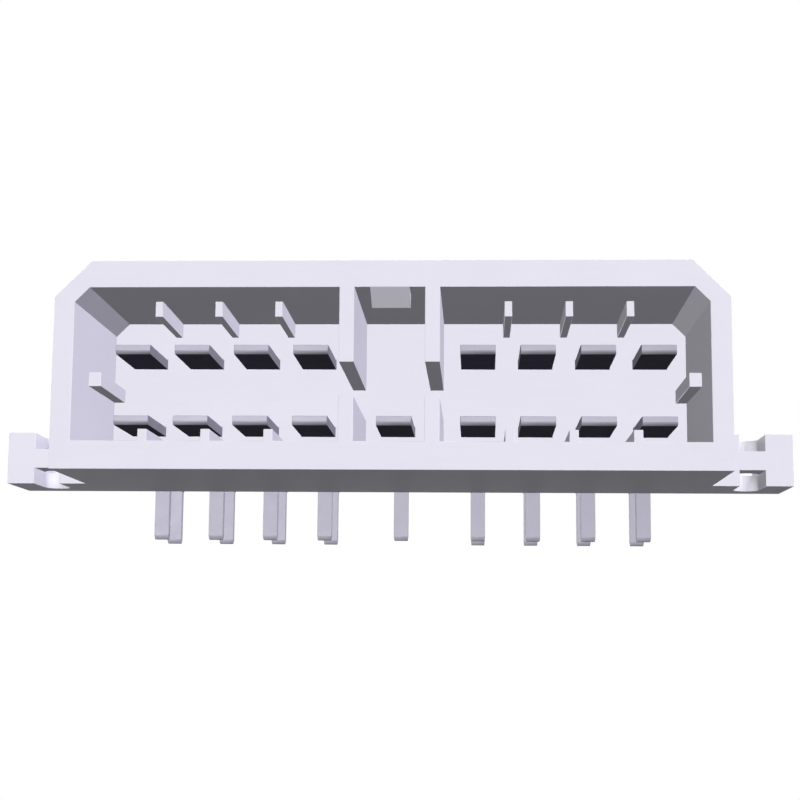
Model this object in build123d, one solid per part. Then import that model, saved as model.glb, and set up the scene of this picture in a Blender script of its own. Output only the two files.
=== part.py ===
"""Right-angle board header: a moulded hood round two rows of male tabs, which a cable plug enters.

Millimetres. X runs along the rows, Y from the mating rim to the back, Z up from the circuit board.
The origin lies on the board, midway between the screw holes in the two ears.
"""

import os

from build123d import *

# Rows of contacts
COLUMN_PITCH = 4.0
CENTRE_GAP = 5.6
SIDE_COLUMNS = 4
ROW_PITCH = 4.8

# Contact stock, tab and shank
STOCK = 0.64
TAB_WIDTH = 2.36
TAB_LENGTH = 6.2
TAB_LEAD = 0.3
TAB_SIDE_CUT = 0.02
TAB_FACE_CUT = 0.03
SHANK_WIDTH = 2.6
BARB_REACH = 0.08
BARB_LENGTH = 0.7
BARBS_PER_SIDE = 2

# Bent leg and solder tail
LEG_WIDTH = 1.4
BEND_RADIUS = 0.92
LOWER_LEG_OFFSET = 2.3
TAIL_ROW_PITCH = 5.1
TAIL_WIDTH = 1.05
TAIL_LENGTH = 3.33
SHOULDER_HEIGHT = 0.6
SHOULDER_TAPER = 0.3
TAIL_LEAD = 0.3
TAIL_SIDE_CUT = 0.04
TAIL_FACE_CUT = 0.09

# Hood, whose wall and space sizes are those at the rim; the draft is in degrees
SIDE_WALL = 1.3
TOP_WALL = 1.72
FLOOR_WALL = 1.8
BACK_WALL = 3.7
CAVITY_DEPTH = 12.0
END_SPACE = 2.6
LOWER_SPACE = 2.1
UPPER_SPACE = 2.98
OUTER_CORNER = 2.35
INNER_CORNER = 0.95
CORE_DRAFT = 0.4

# Slots for the contacts in the back wall
THROAT_LENGTH = 1.2
SLOT_CLEARANCE = 0.03
SLOT_MOUTH = 0.3

# Walls of the centre bay, open at mid height
BAY_WIDTH = 4.5
DIVIDER_WALL = 0.95
UPPER_DIVIDER = 4.83
LOWER_DIVIDER = 2.9

# Guide ribs and catch
RIB_SETBACK = 4.4
CEILING_RIB = 1.05
CEILING_RIB_WIDTH = 0.5
FLOOR_RIB = 0.75
FLOOR_RIB_WIDTH = 0.58
SIDE_RIB = 0.84
SIDE_RIB_HEIGHT = 0.93
SIDE_RIB_RISE = 0.12
CATCH_WIDTH = 2.5
CATCH_RAMP = 1.9
CATCH_LAND = 0.4
CATCH_DROP = 0.98

# Ears with a screw hole each
EAR_WIDTH = 5.5
EAR_HEIGHT = 3.55
EAR_DEPTH = 5.7
HOLE_DIAMETER = 1.75
HOLE_TO_REAR = 2.7
BAR_BOTTOM = 1.1
BAR_HEIGHT = 1.3

# Places that follow from the sizes
REAR_Y = HOLE_TO_REAR
CAVITY_BACK_Y = REAR_Y - BACK_WALL
RIM_Y = CAVITY_BACK_Y - CAVITY_DEPTH
EAR_FRONT_Y = REAR_Y - EAR_DEPTH
OUTER_COLUMN_X = CENTRE_GAP + (SIDE_COLUMNS - 1) * COLUMN_PITCH
CAVITY_HALF = OUTER_COLUMN_X + END_SPACE
HOOD_HALF = CAVITY_HALF + SIDE_WALL
HOLE_X = HOOD_HALF + EAR_WIDTH / 2
LOWER_Z = FLOOR_WALL + LOWER_SPACE
UPPER_Z = LOWER_Z + ROW_PITCH
CEILING_Z = UPPER_Z + UPPER_SPACE
TOP_Z = CEILING_Z + TOP_WALL
LOWER_LEG_Y = REAR_Y + LOWER_LEG_OFFSET
UPPER_LEG_Y = LOWER_LEG_Y + TAIL_ROW_PITCH

SIDE_XS = [CENTRE_GAP + column * COLUMN_PITCH for column in range(SIDE_COLUMNS)]
UPPER_XS = [-x for x in reversed(SIDE_XS)] + SIDE_XS
LOWER_XS = [-x for x in reversed(SIDE_XS)] + [0.0] + SIDE_XS
RIB_XS = [side * (x + COLUMN_PITCH / 2) for side in (-1, 1) for x in SIDE_XS[:-1]]


def block(x_range, y_range, z_range):
    """A box between two values on each axis."""
    sizes = [high - low for low, high in (x_range, y_range, z_range)]
    centre = [(high + low) / 2 for low, high in (x_range, y_range, z_range)]
    return Pos(*centre) * Box(*sizes)


def across(section, half_width):
    """Extrude a section drawn in Y and Z to both sides of the middle plane."""
    return extrude(Plane.YZ * section, half_width, both=True)


def arch_prism(half_width, bottom, top, corner, y_back, draft=0):
    """A prism from the rim back along Y, its two upper corners cut at 45 degrees."""
    section = Pos(0, (top + bottom) / 2) * Rectangle(2 * half_width, top - bottom)
    section = chamfer(section.vertices().group_by(Axis.Y)[-1], corner)
    return extrude(Plane.XZ.offset(-RIM_Y) * section, y_back - RIM_Y, dir=(0, 1, 0), taper=draft)


def dividers():
    """Walls beside the centre bay: one part hangs from the ceiling, one stands on the floor."""
    parts = []
    for side in (-1, 1):
        faces = sorted((side * BAY_WIDTH / 2, side * (BAY_WIDTH / 2 + DIVIDER_WALL)))
        depth = (RIM_Y, CAVITY_BACK_Y)
        parts.append(block(faces, depth, (CEILING_Z - UPPER_DIVIDER, CEILING_Z)))
        parts.append(block(faces, depth, (FLOOR_WALL, FLOOR_WALL + LOWER_DIVIDER)))
    return parts


def guide_ribs():
    """Ribs between the columns on ceiling and floor, and one on each side wall between the rows."""
    ribs = []
    set_back = (RIM_Y + RIB_SETBACK, CAVITY_BACK_Y)
    for x in RIB_XS:
        faces = (x - CEILING_RIB_WIDTH / 2, x + CEILING_RIB_WIDTH / 2)
        ribs.append(block(faces, set_back, (CEILING_Z - CEILING_RIB, CEILING_Z)))
        faces = (x - FLOOR_RIB_WIDTH / 2, x + FLOOR_RIB_WIDTH / 2)
        ribs.append(block(faces, (RIM_Y, CAVITY_BACK_Y), (FLOOR_WALL, FLOOR_WALL + FLOOR_RIB)))
    middle_z = (LOWER_Z + UPPER_Z) / 2 + SIDE_RIB_RISE
    heights = (middle_z - SIDE_RIB_HEIGHT / 2, middle_z + SIDE_RIB_HEIGHT / 2)
    for side in (-1, 1):
        faces = sorted((side * CAVITY_HALF, side * (CAVITY_HALF - SIDE_RIB)))
        ribs.append(block(faces, set_back, heights))
    return ribs


def catch():
    """Wedge on the bay's ceiling that the plug's latch snaps behind."""
    edge_z = CEILING_Z - CATCH_DROP
    ramp_end = RIM_Y + CATCH_RAMP
    land_end = ramp_end + CATCH_LAND
    outline = Polyline(
        (RIM_Y, CEILING_Z), (ramp_end, edge_z), (land_end, edge_z), (land_end, CEILING_Z), close=True
    )
    return across(make_face(outline), CATCH_WIDTH / 2)


def cavity():
    """The space that the plug enters: the mould's drafted core, less what stands in the hood."""
    core = arch_prism(CAVITY_HALF, FLOOR_WALL, CEILING_Z, INNER_CORNER, CAVITY_BACK_Y, CORE_DRAFT)
    return core - (dividers() + guide_ribs() + [catch()])


def contact_slot(x, z):
    """Stepped slot in the back wall: a throat for the tab, a wider part for the shank, a flared mouth."""
    step_y = CAVITY_BACK_Y + THROAT_LENGTH
    half_height = STOCK / 2 + SLOT_CLEARANCE
    throat_half = TAB_WIDTH / 2 + SLOT_CLEARANCE
    shank_half = SHANK_WIDTH / 2 + BARB_REACH
    heights = (z - half_height, z + half_height)
    throat = block((x - throat_half, x + throat_half), (CAVITY_BACK_Y, step_y), heights)
    shank = block((x - shank_half, x + shank_half), (step_y, REAR_Y), heights)
    mouth = extrude(
        Plane((x, REAR_Y, z), x_dir=(1, 0, 0), z_dir=(0, 1, 0))
        * Rectangle(2 * (shank_half + SLOT_MOUTH), 2 * (half_height + SLOT_MOUTH)),
        -SLOT_MOUTH,
        taper=45,
    )
    return throat + shank + mouth


def screw_hole(x):
    """Hole shaped by cores that pull front and back: open to the front over and under the bar,
    and to the back behind it."""
    radius = HOLE_DIAMETER / 2
    bar = (BAR_BOTTOM, BAR_BOTTOM + BAR_HEIGHT)
    faces = (x - radius, x + radius)
    hole = Pos(x, 0, EAR_HEIGHT / 2) * Cylinder(radius, EAR_HEIGHT)
    below = block(faces, (EAR_FRONT_Y, 0), (0, bar[0]))
    above = block(faces, (EAR_FRONT_Y, 0), (bar[1], EAR_HEIGHT))
    behind = block(faces, (0, REAR_Y), bar)
    return hole + below + above + behind


def housing():
    """The one moulded piece: hood, back wall, ears and everything inside the hood."""
    body = arch_prism(HOOD_HALF, 0, TOP_Z, OUTER_CORNER, REAR_Y)
    span = HOOD_HALF + EAR_WIDTH
    body += block((-span, span), (EAR_FRONT_Y, REAR_Y), (0, EAR_HEIGHT))
    slots = [contact_slot(x, UPPER_Z) for x in UPPER_XS] + [contact_slot(x, LOWER_Z) for x in LOWER_XS]
    return body - (slots + [cavity(), screw_hole(-HOLE_X), screw_hole(HOLE_X)])


def plan_outline(leg_y):
    """Top view of a contact: tab, shank with barbs, then the narrower leg."""
    tab_front = CAVITY_BACK_Y - TAB_LENGTH + TAB_LEAD
    step_y = CAVITY_BACK_Y + THROAT_LENGTH
    leg_back = leg_y + STOCK / 2
    outline = Pos(0, (tab_front + REAR_Y) / 2) * Rectangle(TAB_WIDTH, REAR_Y - tab_front)
    outline += Pos(0, (step_y + REAR_Y) / 2) * Rectangle(SHANK_WIDTH, REAR_Y - step_y)
    outline += Pos(0, (REAR_Y + leg_back) / 2) * Rectangle(LEG_WIDTH, leg_back - REAR_Y)
    half = SHANK_WIDTH / 2
    barb_room = (REAR_Y - SLOT_MOUTH - step_y) / BARBS_PER_SIDE
    for barb in range(BARBS_PER_SIDE):
        back = step_y + (barb + 1) * barb_room
        for side in (-1, 1):
            tooth = Polyline(
                (side * half, back - BARB_LENGTH), (side * (half + BARB_REACH), back), (side * half, back), close=True
            )
            outline += make_face(tooth)
    return outline


def front_outline(row_z):
    """Front view of a contact: full width down to the shoulders over the board, then the tail."""
    half_blank = SHANK_WIDTH / 2 + BARB_REACH
    top = row_z + STOCK
    taper_top = SHOULDER_HEIGHT + SHOULDER_TAPER
    tail_end = TAIL_LEAD - TAIL_LENGTH
    right = [
        (half_blank, top),
        (half_blank, taper_top),
        (LEG_WIDTH / 2, taper_top),
        (TAIL_WIDTH / 2, SHOULDER_HEIGHT),
        (TAIL_WIDTH / 2, tail_end),
    ]
    left = [(-x, z) for x, z in reversed(right)]
    return make_face(Polyline(*right, *left, close=True))


def lead(start, width, side_cut, face_cut, length):
    """Tapered end of a strip, drawn out from the given plane."""
    wide = start * Rectangle(width, STOCK)
    narrow = start.offset(length) * Rectangle(width - 2 * side_cut, STOCK - 2 * face_cut)
    return loft([wide, narrow])


def contact(row_z, leg_y):
    """A stamped contact at X zero: male tab, barbed shank, right-angle bend and solder tail."""
    tab_front = CAVITY_BACK_Y - TAB_LENGTH + TAB_LEAD
    tail_end = TAIL_LEAD - TAIL_LENGTH
    centre_line = FilletPolyline((tab_front, row_z), (leg_y, row_z), (leg_y, tail_end), radius=BEND_RADIUS)
    strip = across(trace(centre_line, STOCK), SHANK_WIDTH)
    reach = TAIL_LENGTH + row_z + STOCK
    strip &= extrude(plan_outline(leg_y), reach, both=True)
    strip &= extrude(Plane.XZ * front_outline(row_z), leg_y - tab_front + CAVITY_DEPTH, both=True)
    tab_plane = Plane((0, tab_front, row_z), x_dir=(1, 0, 0), z_dir=(0, -1, 0))
    tail_plane = Plane((0, leg_y, tail_end), x_dir=(1, 0, 0), z_dir=(0, 0, -1))
    strip += lead(tab_plane, TAB_WIDTH, TAB_SIDE_CUT, TAB_FACE_CUT, TAB_LEAD)
    strip += lead(tail_plane, TAIL_WIDTH, TAIL_SIDE_CUT, TAIL_FACE_CUT, TAIL_LEAD)
    return strip


def contacts():
    """Every contact in its place, named by row and by its number from the left."""
    placed = {}
    rows = (("upper", UPPER_XS, UPPER_Z, UPPER_LEG_Y), ("lower", LOWER_XS, LOWER_Z, LOWER_LEG_Y))
    for row, xs, row_z, leg_y in rows:
        shape = contact(row_z, leg_y)
        for number, x in enumerate(xs, start=1):
            placed[f"{row}_terminal_{number}"] = Pos(x, 0, 0) * shape
    return placed


def main():
    os.makedirs("parts", exist_ok=True)
    pieces = {"housing": housing(), **contacts()}
    for name, shape in pieces.items():
        export_step(shape, f"parts/{name}.step")
        print(name, "solids", len(shape.solids()), "volume", round(shape.volume, 3))


main()
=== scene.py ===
from math import pi, radians

import bmesh
import bpy
from mathutils import Matrix, Vector


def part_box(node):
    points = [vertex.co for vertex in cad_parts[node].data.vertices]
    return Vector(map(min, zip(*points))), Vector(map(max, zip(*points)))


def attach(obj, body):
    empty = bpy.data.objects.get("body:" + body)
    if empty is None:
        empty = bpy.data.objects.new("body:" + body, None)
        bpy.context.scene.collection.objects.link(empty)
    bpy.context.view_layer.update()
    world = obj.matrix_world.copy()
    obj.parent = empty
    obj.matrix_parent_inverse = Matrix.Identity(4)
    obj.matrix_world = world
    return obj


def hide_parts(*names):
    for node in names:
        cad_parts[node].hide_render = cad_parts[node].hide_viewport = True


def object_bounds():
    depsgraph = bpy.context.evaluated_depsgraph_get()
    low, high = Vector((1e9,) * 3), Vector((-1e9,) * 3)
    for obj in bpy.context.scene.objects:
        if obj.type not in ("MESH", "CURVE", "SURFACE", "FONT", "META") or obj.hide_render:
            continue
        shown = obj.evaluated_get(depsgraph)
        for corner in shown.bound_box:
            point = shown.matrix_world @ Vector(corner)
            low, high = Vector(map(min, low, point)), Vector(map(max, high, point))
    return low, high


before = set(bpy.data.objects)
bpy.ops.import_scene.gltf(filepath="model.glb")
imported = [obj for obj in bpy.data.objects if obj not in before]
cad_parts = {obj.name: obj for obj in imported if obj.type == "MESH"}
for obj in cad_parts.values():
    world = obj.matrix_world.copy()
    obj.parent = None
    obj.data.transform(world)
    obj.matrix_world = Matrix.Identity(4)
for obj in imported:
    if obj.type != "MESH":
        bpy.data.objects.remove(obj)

bl_info = {
    "name": "Circuit board socket",
    "version": (1, 0, 0),
    "blender": (4, 5, 0),
    "location": "3D View > Sidebar > Board socket",
    "description": "Dresses a right-angle board connector: its moulded hood and its bent contacts",
    "category": "Object",
}

MM = 0.001
UPPER = [f"upper_terminal_{number}" for number in range(1, 9)]
LOWER = [f"lower_terminal_{number}" for number in range(1, 10)]

# Places on the housing: the back wall, the ears, and the heights half way down their holes
CAD_LOW, CAD_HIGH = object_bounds()
_, HOUSING_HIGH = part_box("housing")
TAILS_END = CAD_LOW.z
CAVITY_BACK = -1.0 * MM
REAR_FACE = HOUSING_HIGH.y
EAR_WIDTH = 5.5 * MM
EAR_DEPTH = 5.7 * MM
EAR_FRONT = REAR_FACE - EAR_DEPTH
EAR_INSIDE = 0.1 * MM
HALF_WAY_DOWN = (0.5 * MM, 3.0 * MM)
WALL_INSIDE = 0.05 * MM

# How far a contact slot reaches below and above its row's top, and stays from the hood's end
SLOT_BELOW = 1.0 * MM
SLOT_ABOVE = 0.36 * MM
SLOTS_TO_END = 1.5 * MM

# The parts of a contact: hidden in the wall, bare in the hood, and with painted shade, a dark
# colour, on its tabs' downward faces
CONTACT_TO_WALL = 0.02 * MM
TAB_BARE_FROM = CAVITY_BACK - 1.0 * MM
BEHIND_NOSE = 0.03 * MM
PAINTED_SHADE_TILT = -0.3

# How a mesh is merged, and which of its edges and faces are rounded or smooth
MERGE_GAP = 0.001 * MM
FLAT_ANGLE = radians(0.4)
EDGE_ANGLE = radians(31)
CURVE_TILT = 0.05
EDGE_SEGMENTS = 2
NOSE_SEGMENTS = 3

# Pattern scales, in waves per metre, and the finishes' fixed values. In the finishes
# themselves, the number beside a pattern says how much of it shows.
RESIN_CLOUDS = 220.0
RESIN_FLOW = (260.0, 2600.0, 2600.0)
RESIN_IOR = 1.5
RESIN_SPECULAR = 0.12
TIN_LINES = (26000.0, 900.0, 900.0)
TIN_CLOUDS = 900.0
TIN_GRAIN = 14000.0
TIN_RELIEF = 0.0012 * MM
TIN_METALLIC = 0.5
# Painted shade under the tabs: its cloud scale, how much darker its darker clouds are, and its
# roughness
PAINTED_SHADE_CLOUDS = 700.0
PAINTED_SHADE_DEEPER = 0.7
PAINTED_SHADE_ROUGHNESS = 0.75

# The stage
WHITE = (1.0, 1.0, 1.0)
SENSOR_WIDTH = 36.0
CLIP_START = 0.01
CLIP_END = 10.0
FLOOR_GAP = 0.01 * MM
FLOOR_SIDES = 96
FLOOR_DIM = (0.08, 0.08, 0.08)
FADE_START = 0.15
FADE_END = 0.6

# Each lamp's name, the way towards it, its strength, tone and spread in degrees.
# The front lamps cast no shadow, and only the contacts mirror them. The rear ones are soft boxes.
FRONT_LAMPS = (
    ("key", (-0.275, -0.955, 0.02), 0.745, (1.0, 1.0, 0.99), 2.0),
    ("side", (0.87, -0.235, 0.43), 1.0, (0.92, 0.90, 1.0), 2.0),
    ("low_left", (-0.5, -0.12, -0.86), 0.193, WHITE, 2.0),
)
REAR_LAMPS = (
    ("rear", (-0.10, 0.80, 0.50), 0.52, WHITE, 35.0),
    ("rear_left", (-0.85, 0.35, 0.40), 0.33, WHITE, 35.0),
    ("overhead", (-0.25, 0.35, 0.90), 0.10, WHITE, 50.0),
)


# Shader building

class Value:
    """A node's output. A sum, difference or product of values adds its Math node."""

    def __init__(self, finish, socket):
        self.finish = finish
        self.socket = socket

    def maths(self, operation, *values):
        inputs = dict(enumerate(values))
        return self.finish.node("ShaderNodeMath", {"operation": operation}, inputs)

    def __add__(self, other):
        return self.maths("ADD", self, other)

    def __sub__(self, other):
        return self.maths("SUBTRACT", self, other)

    def __rsub__(self, other):
        return self.maths("SUBTRACT", other, self)

    def __mul__(self, other):
        return self.maths("MULTIPLY", self, other)

    __radd__ = __add__
    __rmul__ = __mul__

    def most(self, other):
        return self.maths("MAXIMUM", self, other)

    def ramp(self, low, high):
        """0 at the low value and 1 at the high one, with soft ends."""
        settings = {"interpolation_type": "SMOOTHSTEP"}
        inputs = {"Value": self, "From Min": low, "From Max": high}
        return self.finish.node("ShaderNodeMapRange", settings, inputs)


class Finish:
    """The node tree of a material or the world, cleared, and the method that fills it."""

    def __init__(self, owner):
        owner.use_nodes = True
        self.tree = owner.node_tree
        self.tree.nodes.clear()

    def node(self, kind, settings=None, inputs=None, output=0):
        """Add a node: its settings first, then its sockets' values or links, by name or number."""
        made = self.tree.nodes.new(kind)
        for name, value in (settings or {}).items():
            setattr(made, name, value)
        for socket, value in (inputs or {}).items():
            if isinstance(value, Value):
                self.tree.links.new(value.socket, made.inputs[socket])
            else:
                made.inputs[socket].default_value = value
        return Value(self, made.outputs[output]) if made.outputs else None

    def places(self):
        """Object coordinates, in metres."""
        return self.node("ShaderNodeTexCoord", output="Object")

    def stretched(self, scale):
        """Object coordinates with a scale of their own on each axis."""
        return self.node("ShaderNodeMapping", inputs={"Vector": self.places(), "Scale": scale})

    def noise(self, vector, scale=1.0, detail=2.0):
        """Noise round zero, about half up and half down."""
        inputs = {"Vector": vector, "Scale": scale, "Detail": detail}
        return self.node("ShaderNodeTexNoise", inputs=inputs, output="Fac") - 0.5

    def tint(self, share, first, second):
        """A colour that goes from the first to the second as the share goes from 0 to 1."""
        # A Mix node's colour sockets share their names with others, so they go by number.
        inputs = {0: share, 6: colour(first), 7: colour(second)}
        return self.node("ShaderNodeMix", {"data_type": "RGBA"}, inputs, output=2)

    def relief(self, height, depth):
        """A bump whose height of 1 stands for the depth."""
        inputs = {"Strength": 1.0, "Distance": depth, "Height": height}
        return self.node("ShaderNodeBump", inputs=inputs, output="Normal")

    def shown(self):
        """1 for the rays that show the surroundings: seen, mirrored or passed through glass."""
        seen = self.node("ShaderNodeLightPath", output="Is Camera Ray")
        mirrored = self.node("ShaderNodeLightPath", output="Is Glossy Ray")
        passed = self.node("ShaderNodeLightPath", output="Is Transmission Ray")
        return seen.most(mirrored).most(passed)

    def mixed(self, share, first, second):
        """The first shader at a share of 0 and the second at 1."""
        return self.node("ShaderNodeMixShader", inputs={0: share, 1: first, 2: second})

    def matt(self, tone):
        return self.node("ShaderNodeBsdfDiffuse", inputs={"Color": colour(tone)})

    def glow(self, kind, strength):
        """White light of the strength: an Emission or a Background."""
        return self.node(kind, inputs={"Color": colour(WHITE), "Strength": strength})


def colour(rgb):
    return (*rgb, 1.0)


def new_finish(name):
    """An empty material and its node tree."""
    material = bpy.data.materials.new(name)
    return material, Finish(material)


def moulded_plastic(look):
    """Pale matt moulding: a fine spark texture, faint flow marks and clouds in the resin."""
    material, finish = new_finish("moulded_plastic")
    grain = finish.noise(finish.places(), 1 / look.grain_size)
    clouds = finish.noise(finish.places(), RESIN_CLOUDS, detail=3.0)
    flow = finish.noise(finish.stretched(RESIN_FLOW))
    share = clouds * 0.9 + flow * 0.5 + grain * 0.35 + 0.5
    shader = finish.node(
        "ShaderNodeBsdfPrincipled",
        inputs={
            "Base Color": finish.tint(share, look.shade_colour, look.resin_colour),
            "Roughness": grain * 0.16 + clouds * 0.1 + look.roughness,
            "IOR": RESIN_IOR,
            "Specular IOR Level": RESIN_SPECULAR,
            "Normal": finish.relief(grain, look.grain_depth),
        },
    )
    finish.node("ShaderNodeOutputMaterial", inputs={"Surface": shader})
    return material


def tinned_metal(look):
    """Tin plating on rolled strip: drawn lines along each contact, clouds and a soft gloss."""
    material, finish = new_finish("tinned_metal")
    lines = finish.noise(finish.stretched(TIN_LINES))
    clouds = finish.noise(finish.places(), TIN_CLOUDS, detail=3.0)
    grain = finish.noise(finish.places(), TIN_GRAIN, detail=1.0)
    share = lines * 0.8 + clouds * 1.1 + 0.5
    shader = finish.node(
        "ShaderNodeBsdfPrincipled",
        inputs={
            "Base Color": finish.tint(share, look.dull_colour, look.tin_colour),
            "Roughness": lines * 0.1 + clouds * 0.14 + look.roughness,
            "Metallic": TIN_METALLIC,
            "Normal": finish.relief(lines + grain * 0.5, TIN_RELIEF),
        },
    )
    finish.node("ShaderNodeOutputMaterial", inputs={"Surface": shader})
    return material


def painted_shade_underside(look):
    """Painted shade: a dull dark colour on the faces under each tab, standing in for their shade,
    with lines and clouds like those of the tin.
    """
    material, finish = new_finish("painted_shade_tab_underside")
    lines = finish.noise(finish.stretched(TIN_LINES))
    clouds = finish.noise(finish.places(), PAINTED_SHADE_CLOUDS, detail=3.0)
    share = lines * 0.6 + clouds * 1.2 + 0.5
    darker = [PAINTED_SHADE_DEEPER * part for part in look.painted_shade_colour]
    shader = finish.node(
        "ShaderNodeBsdfPrincipled",
        inputs={
            "Base Color": finish.tint(share, darker, look.painted_shade_colour),
            "Roughness": clouds * 0.2 + PAINTED_SHADE_ROUGHNESS,
            "Specular IOR Level": 0.0,
        },
    )
    finish.node("ShaderNodeOutputMaterial", inputs={"Surface": shader})
    return material


# Shapes

def merged_copy(node):
    """A CAD node's mesh with its loose triangles joined and each flat face made whole."""
    shape = bmesh.new()
    shape.from_mesh(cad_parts[node].data)
    bmesh.ops.remove_doubles(shape, verts=shape.verts, dist=MERGE_GAP)
    bmesh.ops.dissolve_limit(
        shape,
        angle_limit=FLAT_ANGLE,
        use_dissolve_boundaries=False,
        verts=shape.verts,
        edges=shape.edges,
    )
    shape.normal_update()
    return shape


def middle(edge):
    return (edge.verts[0].co + edge.verts[1].co) / 2


def round_off(shape, edges, radius, segments):
    """Round the edges, and shade the rounds smooth."""
    rounds = bmesh.ops.bevel(
        shape,
        geom=edges,
        offset=radius,
        offset_type="OFFSET",
        affect="EDGES",
        segments=segments,
        profile=0.5,
        material=-1,
        clamp_overlap=False,
        loop_slide=True,
    )
    for face in rounds["faces"]:
        face.smooth = True


def round_edges(shape, radius, wanted):
    """Round the sharp outer edges whose middle is wanted."""
    sharp = [
        edge
        for edge in shape.edges
        if edge.is_convex and edge.calc_face_angle() > EDGE_ANGLE and wanted(middle(edge))
    ]
    round_off(shape, sharp, radius, EDGE_SEGMENTS)


def round_nose(shape, tip, radius):
    """Round the lower edge of a tab's tip, as the stamping die leaves it."""
    ends = [
        edge for edge in shape.edges if all(vert.co.y < tip + MERGE_GAP for vert in edge.verts)
    ]
    lowest = min(ends, key=lambda edge: middle(edge).z)
    round_off(shape, [lowest], radius, NOSE_SEGMENTS)


def finished_piece(name, shape, materials):
    """Make the object of a shape, riding on the one body, with its materials."""
    mesh = bpy.data.meshes.new(name)
    shape.to_mesh(mesh)
    shape.free()
    # The CAD mesh's own normals come along with the copy, and don't fit the rounded shape.
    mesh.attributes.remove(mesh.attributes["custom_normal"])
    for material in materials:
        mesh.materials.append(material)
    piece = bpy.data.objects.new(name, mesh)
    bpy.context.scene.collection.objects.link(piece)
    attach(piece, "root")
    return piece


def shining_group():
    """The collection of pieces that mirror the front lamps."""
    name = "shining"
    return bpy.data.collections.get(name) or bpy.data.collections.new(name)


# Sizes and colours

class HousingLook(bpy.types.PropertyGroup):
    edge_radius: bpy.props.FloatProperty(
        name="Edge radius",
        description="Round on the moulding's edges",
        default=0.03 * MM,
        unit="LENGTH",
    )
    grain_size: bpy.props.FloatProperty(
        name="Grain size",
        description="Size of the mould's spark texture",
        default=0.14 * MM,
        unit="LENGTH",
    )
    grain_depth: bpy.props.FloatProperty(
        name="Grain depth",
        description="Depth of that texture",
        default=0.004 * MM,
        unit="LENGTH",
    )
    resin_colour: bpy.props.FloatVectorProperty(
        name="Resin",
        description="Colour of the plastic",
        default=(0.84, 0.825, 0.915),
        subtype="COLOR",
    )
    shade_colour: bpy.props.FloatVectorProperty(
        name="Resin shade",
        description="Its darker clouds",
        default=(0.80, 0.785, 0.88),
        subtype="COLOR",
    )
    roughness: bpy.props.FloatProperty(
        name="Roughness",
        description="Mean roughness of the plastic",
        default=0.42,
        subtype="FACTOR",
    )


class ContactLook(bpy.types.PropertyGroup):
    edge_radius: bpy.props.FloatProperty(
        name="Edge radius",
        description="Round on the stamped edges",
        default=0.02 * MM,
        unit="LENGTH",
    )
    nose_radius: bpy.props.FloatProperty(
        name="Nose radius",
        description="Round under the tips of the tabs",
        default=0.24 * MM,
        unit="LENGTH",
    )
    tin_colour: bpy.props.FloatVectorProperty(
        name="Tin",
        description="Colour of the plating",
        default=(0.44, 0.425, 0.505),
        subtype="COLOR",
    )
    dull_colour: bpy.props.FloatVectorProperty(
        name="Dull tin",
        description="Colour where it is dull",
        default=(0.37, 0.357, 0.425),
        subtype="COLOR",
    )
    # Painted shade: a dark colour given to the tabs' downward faces in place of their shade
    painted_shade_colour: bpy.props.FloatVectorProperty(
        name="Underside",
        description="Colour of the tabs' undersides",
        default=(0.10, 0.093, 0.13),
        subtype="COLOR",
    )
    roughness: bpy.props.FloatProperty(
        name="Roughness",
        description="Mean roughness of the tin",
        default=0.62,
        subtype="FACTOR",
    )


class StageLook(bpy.types.PropertyGroup):
    camera_place: bpy.props.FloatVectorProperty(
        name="Camera place",
        description="Where the camera stands",
        default=(5.664 * MM, -114.636 * MM, -10.598 * MM),
        precision=6,
        subtype="TRANSLATION",
    )
    camera_turn: bpy.props.FloatProperty(
        name="Turn",
        description="How far the camera is turned to the left",
        default=radians(2.791),
        subtype="ANGLE",
    )
    camera_tilt: bpy.props.FloatProperty(
        name="Tilt",
        description="How far the camera looks up",
        default=radians(8.388),
        subtype="ANGLE",
    )
    camera_roll: bpy.props.FloatProperty(
        name="Roll",
        description="How far the camera leans",
        default=radians(0.493),
        subtype="ANGLE",
    )
    lens: bpy.props.FloatProperty(
        name="Lens",
        description="Focal length for a sensor 36 mm wide",
        default=73.63,
        unit="CAMERA",
    )
    floor_radius: bpy.props.FloatProperty(
        name="Floor radius",
        description="Radius of the pale floor",
        default=1.5,
        unit="LENGTH",
    )
    floor_colour: bpy.props.FloatVectorProperty(
        name="Floor",
        description="Colour of the floor",
        default=(0.92, 0.92, 0.92),
        subtype="COLOR",
    )
    ambient: bpy.props.FloatProperty(
        name="Ambient",
        description="Light from all round",
        default=0.02,
    )


# Operators

class SOCKET_OT_housing(bpy.types.Operator):
    """Make the moulded housing from its CAD node, with rounded edges and a matt plastic"""

    bl_idname = "socket.housing"
    bl_label = "Moulded housing"

    def execute(self, context):
        look = context.scene.housing_look
        row_boxes = [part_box("upper_terminal_1"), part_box("lower_terminal_1")]
        row_tops = [high.z for _, high in row_boxes]
        low_edge, high_edge = HALF_WAY_DOWN

        def in_slot(point, past_hood):
            in_wall = CAVITY_BACK + WALL_INSIDE < point.y < REAR_FACE - WALL_INSIDE
            at_row = any(top - SLOT_BELOW < point.z < top + SLOT_ABOVE for top in row_tops)
            return in_wall and at_row and past_hood < -SLOTS_TO_END

        def in_hole(point, past_hood):
            in_depth = EAR_FRONT + EAR_INSIDE < point.y < REAR_FACE - EAR_INSIDE
            in_width = EAR_INSIDE < past_hood < EAR_WIDTH - EAR_INSIDE
            return in_depth and in_width and low_edge < point.z < high_edge

        def rounded(point):
            """Not the edges of the contact slots, nor those half way down the screw holes."""
            past_hood = abs(point.x) - (HOUSING_HIGH.x - EAR_WIDTH)
            return not (in_slot(point, past_hood) or in_hole(point, past_hood))

        shape = merged_copy("housing")
        for face in shape.faces:
            across, along, up = (abs(part) for part in face.normal)
            face.smooth = up < CURVE_TILT and min(across, along) > CURVE_TILT
        round_edges(shape, look.edge_radius, rounded)
        piece = finished_piece("moulded_housing", shape, [moulded_plastic(look)])
        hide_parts("housing")
        return {"FINISHED"}


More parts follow.
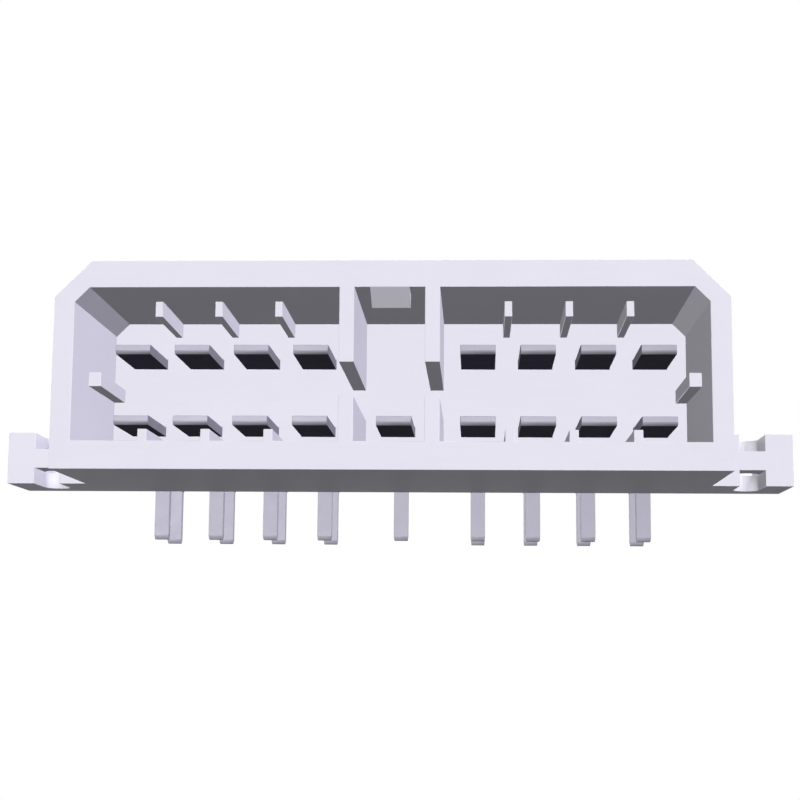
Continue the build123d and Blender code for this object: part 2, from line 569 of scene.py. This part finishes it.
class SOCKET_OT_contacts(bpy.types.Operator):
    """Make the seventeen bent contacts from their CAD nodes, tinned, with their edges rounded"""

    bl_idname = "socket.contacts"
    bl_label = "Bent contacts"

    def execute(self, context):
        look = context.scene.contact_look
        materials = [tinned_metal(look), painted_shade_underside(look)]
        group = shining_group()

        def outside_wall(point):
            wall_front = CAVITY_BACK + CONTACT_TO_WALL
            return not wall_front < point.y < REAR_FACE + CONTACT_TO_WALL

        for node in UPPER + LOWER:
            shape = merged_copy(node)
            for face in shape.faces:
                across, along, up = (abs(part) for part in face.normal)
                face.smooth = min(along, up) > CURVE_TILT and across < CURVE_TILT
            tip = min(vert.co.y for vert in shape.verts)
            round_nose(shape, tip, look.nose_radius)
            round_edges(shape, look.edge_radius, outside_wall)
            # Painted shade: the tabs' downward faces, all but the rounded nose, take the dark
            # second material
            for face in shape.faces:
                depths = [vert.co.y for vert in face.verts]
                on_tab = min(depths) < TAB_BARE_FROM
                on_nose = max(depths) < tip + look.nose_radius + BEHIND_NOSE
                if on_tab and not on_nose and face.normal.z < PAINTED_SHADE_TILT:
                    face.material_index = 1
            piece = finished_piece(node.replace("terminal", "contact"), shape, materials)
            group.objects.link(piece)
            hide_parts(node)
        return {"FINISHED"}


class SOCKET_OT_stage(bpy.types.Operator):
    """Set the camera, the lamps, the white surroundings and the pale floor"""

    bl_idname = "socket.stage"
    bl_label = "Stage"

    def execute(self, context):
        look = context.scene.stage_look
        context.scene.view_settings.view_transform = "Standard"
        self.camera(context.scene, look)
        self.world(context.scene, look)
        self.floor(look)
        self.lamps()
        return {"FINISHED"}

    def camera(self, scene, look):
        data = bpy.data.cameras.new("camera")
        data.sensor_width = SENSOR_WIDTH
        data.lens = look.lens
        data.clip_start = CLIP_START
        data.clip_end = CLIP_END
        camera = bpy.data.objects.new("camera", data)
        turned = Matrix.Rotation(look.camera_turn, 4, "Z")
        tilted = Matrix.Rotation(radians(90) + look.camera_tilt, 4, "X")
        rolled = Matrix.Rotation(look.camera_roll, 4, "Z")
        camera.matrix_world = Matrix.Translation(look.camera_place) @ turned @ tilted @ rolled
        scene.collection.objects.link(camera)
        scene.camera = camera

    def world(self, scene, look):
        world = bpy.data.worlds.new("surroundings")
        scene.world = world
        finish = Finish(world)
        soft = finish.glow("ShaderNodeBackground", look.ambient)
        white = finish.glow("ShaderNodeBackground", 1.0)
        mixed = finish.mixed(finish.shown(), soft, white)
        finish.node("ShaderNodeOutputWorld", inputs={"Surface": mixed})

    def floor(self, look):
        shape = bmesh.new()
        bmesh.ops.create_circle(
            shape, cap_ends=True, segments=FLOOR_SIDES, radius=look.floor_radius
        )
        bmesh.ops.translate(shape, verts=shape.verts, vec=(0, 0, TAILS_END - FLOOR_GAP))
        mesh = bpy.data.meshes.new("floor")
        shape.to_mesh(mesh)
        shape.free()
        mesh.materials.append(self.floor_finish(look))
        floor = bpy.data.objects.new("floor", mesh)
        bpy.context.scene.collection.objects.link(floor)

    def floor_finish(self, look):
        """Pale near the part, white further off, and clear from below."""
        material, finish = new_finish("pale_floor")
        shown = finish.shown()
        near = finish.mixed(shown, finish.matt(FLOOR_DIM), finish.matt(look.floor_colour))
        white = finish.glow("ShaderNodeEmission", 1.0)
        settings = {"operation": "LENGTH"}
        distance = finish.node("ShaderNodeVectorMath", settings, {0: finish.places()}, "Value")
        top = finish.mixed(distance.ramp(FADE_START, FADE_END) * shown, near, white)
        below = finish.node("ShaderNodeNewGeometry", output="Backfacing")
        clear = finish.node("ShaderNodeBsdfTransparent")
        whole = finish.mixed(below, top, clear)
        finish.node("ShaderNodeOutputMaterial", inputs={"Surface": whole})
        return material

    def lamps(self):
        for name, *values in FRONT_LAMPS:
            matt = self.sun(name, *values, shadow=False)
            matt.visible_glossy = False
            shine = self.sun(f"{name}_shine", *values, shadow=False)
            shine.visible_diffuse = False
            shine.light_linking.receiver_collection = shining_group()
        for name, *values in REAR_LAMPS:
            self.sun(name, *values, shadow=True)

    def sun(self, name, towards, strength, tone, spread, shadow):
        """A far lamp. At a strength of 1 a colour that faces it renders as it is written."""
        data = bpy.data.lights.new(name, "SUN")
        data.energy = pi * strength
        data.color = tone
        data.angle = radians(spread)
        data.use_shadow = shadow
        data.cycles.max_bounces = 0
        lamp = bpy.data.objects.new(name, data)
        lamp.matrix_world = Vector(towards).to_track_quat("Z", "Y").to_matrix().to_4x4()
        bpy.context.scene.collection.objects.link(lamp)
        return lamp


class SOCKET_PT_panel(bpy.types.Panel):
    """The socket's steps and their sizes and colours"""

    bl_idname = "SOCKET_PT_panel"
    bl_label = "Board socket"
    bl_space_type = "VIEW_3D"
    bl_region_type = "UI"
    bl_category = "Board socket"

    def draw(self, context):
        for look, step in STEPS:
            box = self.layout.box()
            box.operator(step.bl_idname)
            group = getattr(context.scene, look)
            for name in group.bl_rna.properties.keys():
                if name not in ("rna_type", "name"):
                    box.prop(group, name)


LOOKS = {"stage_look": StageLook, "housing_look": HousingLook, "contact_look": ContactLook}
STEPS = (
    ("stage_look", SOCKET_OT_stage),
    ("housing_look", SOCKET_OT_housing),
    ("contact_look", SOCKET_OT_contacts),
)


def register():
    for name, look in LOOKS.items():
        bpy.utils.register_class(look)
        setattr(bpy.types.Scene, name, bpy.props.PointerProperty(type=look))
    for _, step in STEPS:
        bpy.utils.register_class(step)
    bpy.utils.register_class(SOCKET_PT_panel)


def unregister():
    bpy.utils.unregister_class(SOCKET_PT_panel)
    for _, step in reversed(STEPS):
        bpy.utils.unregister_class(step)
    for name, look in LOOKS.items():
        delattr(bpy.types.Scene, name)
        bpy.utils.unregister_class(look)


def main():
    register()
    bpy.ops.socket.stage()
    bpy.ops.socket.housing()
    bpy.ops.socket.contacts()


if __name__ == "__main__":
    main()
